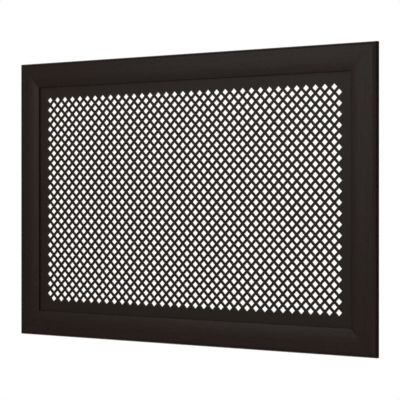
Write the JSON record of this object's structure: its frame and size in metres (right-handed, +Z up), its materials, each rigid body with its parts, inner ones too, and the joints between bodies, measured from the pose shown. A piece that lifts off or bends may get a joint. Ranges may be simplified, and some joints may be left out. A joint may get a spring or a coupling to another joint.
{
  "type": "radiator screen",
  "caption": "Flat radiator cover: a mitred dark wood-grain moulding frame round a sheet of diamond holes, with adjustable hooks behind its top rail to hang it on a radiator",
  "frame": {"origin": "the middle of the frame's bottom edge, halfway through the frame's thickness", "axes": "+X along the width to the right as seen from the room, +Y from the room towards the radiator, +Z up"},
  "size_m": [0.897, 0.1005, 0.6],
  "materials": {
    "foil": "satin dark wood-grain foil over fibreboard",
    "sheet": "satin dark foil on the front of a punched fibreboard sheet",
    "beech": "bare beech",
    "zinc_steel": "bright zinc plate",
    "zinc_screw": "bright zinc plate",
    "rubber": "matt black rubber"
  },
  "bodies": {
    "screen": {"top_rail": "foil", "bottom_rail": "foil", "left_stile": "foil", "right_stile": "foil", "perforated_sheet": "sheet", "bottom_left_dowels": "beech", "bottom_right_dowels": "beech", "top_right_dowels": "beech", "top_left_dowels": "beech", "bottom_left_plate": "zinc_steel", "bottom_right_plate": "zinc_steel", "top_right_plate": "zinc_steel", "top_left_plate": "zinc_steel", "bottom_left_plate_screws": "zinc_screw", "bottom_right_plate_screws": "zinc_screw", "top_right_plate_screws": "zinc_screw", "top_left_plate_screws": "zinc_screw", "left_bracket": "zinc_steel", "left_bracket_screws": "zinc_screw", "left_buffer": "rubber", "right_bracket": "zinc_steel", "right_bracket_screws": "zinc_screw", "right_buffer": "rubber"},
    "left_hanger": {"left_hook": "zinc_steel", "left_clamp_screw": "zinc_screw", "left_washer": "zinc_screw", "left_nut": "zinc_screw"},
    "right_hanger": {"right_hook": "zinc_steel", "right_clamp_screw": "zinc_screw", "right_washer": "zinc_screw", "right_nut": "zinc_screw"}
  },
  "joints": [
    {"name": "left_hook_slide", "type": "slide", "parent": "screen", "child": "left_hanger", "axis": [0, 1, 0], "range_m": [0, 0.04]},
    {"name": "right_hook_slide", "type": "slide", "parent": "screen", "child": "right_hanger", "axis": [0, 1, 0], "range_m": [0, 0.04]}
  ]
}
